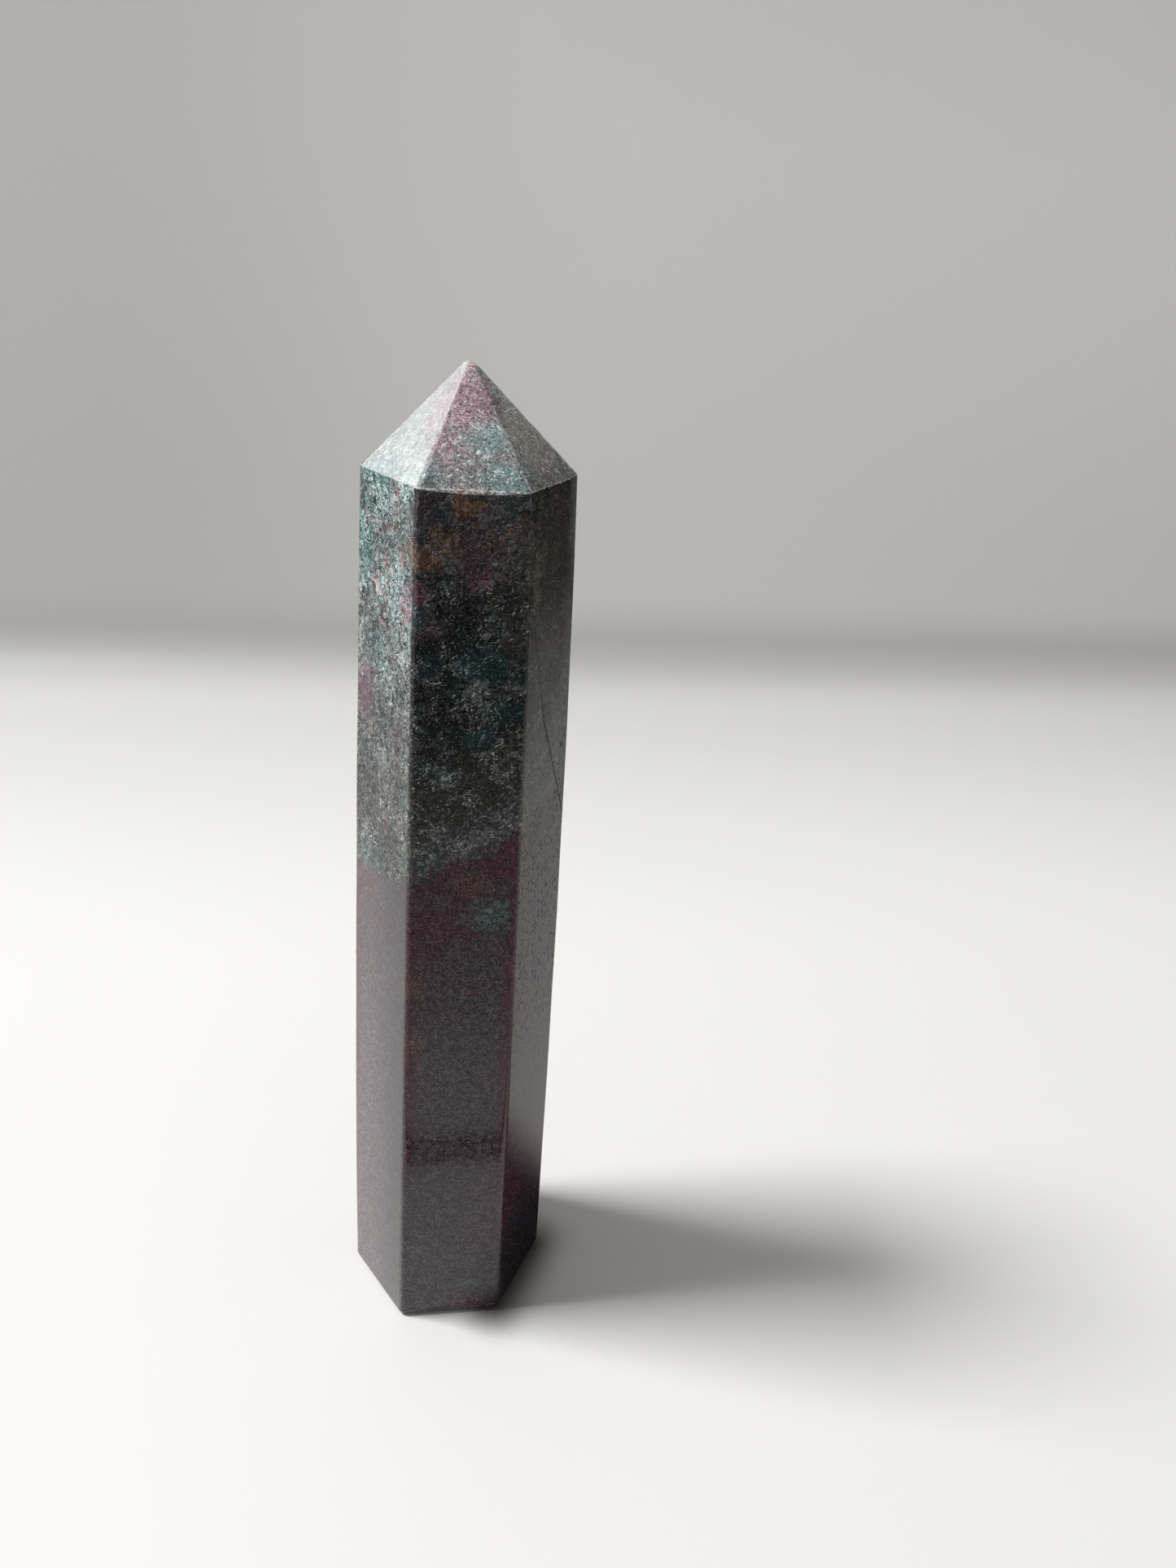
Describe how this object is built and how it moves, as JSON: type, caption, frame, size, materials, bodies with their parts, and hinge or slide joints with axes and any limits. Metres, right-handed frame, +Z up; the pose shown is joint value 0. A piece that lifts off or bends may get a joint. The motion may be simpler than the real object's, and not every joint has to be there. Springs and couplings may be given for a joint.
{
  "type": "ruby kyanite generator",
  "caption": "Polished stone tower: a tapering six-sided prism with softened edges, a flat foot and a low six-faced point.",
  "frame": {"origin": "middle of the tower's widest section, on the surface that it stands on", "axes": "+Z up along the tower to its point, -Y out of the front face"},
  "size_m": [0.0232, 0.0206, 0.11],
  "materials": {
    "stone": "polished rock of ruby, teal kyanite and dark mica, with a soft gloss"
  },
  "bodies": {
    "root": {"stone_tower": "stone"}
  },
  "joints": []
}
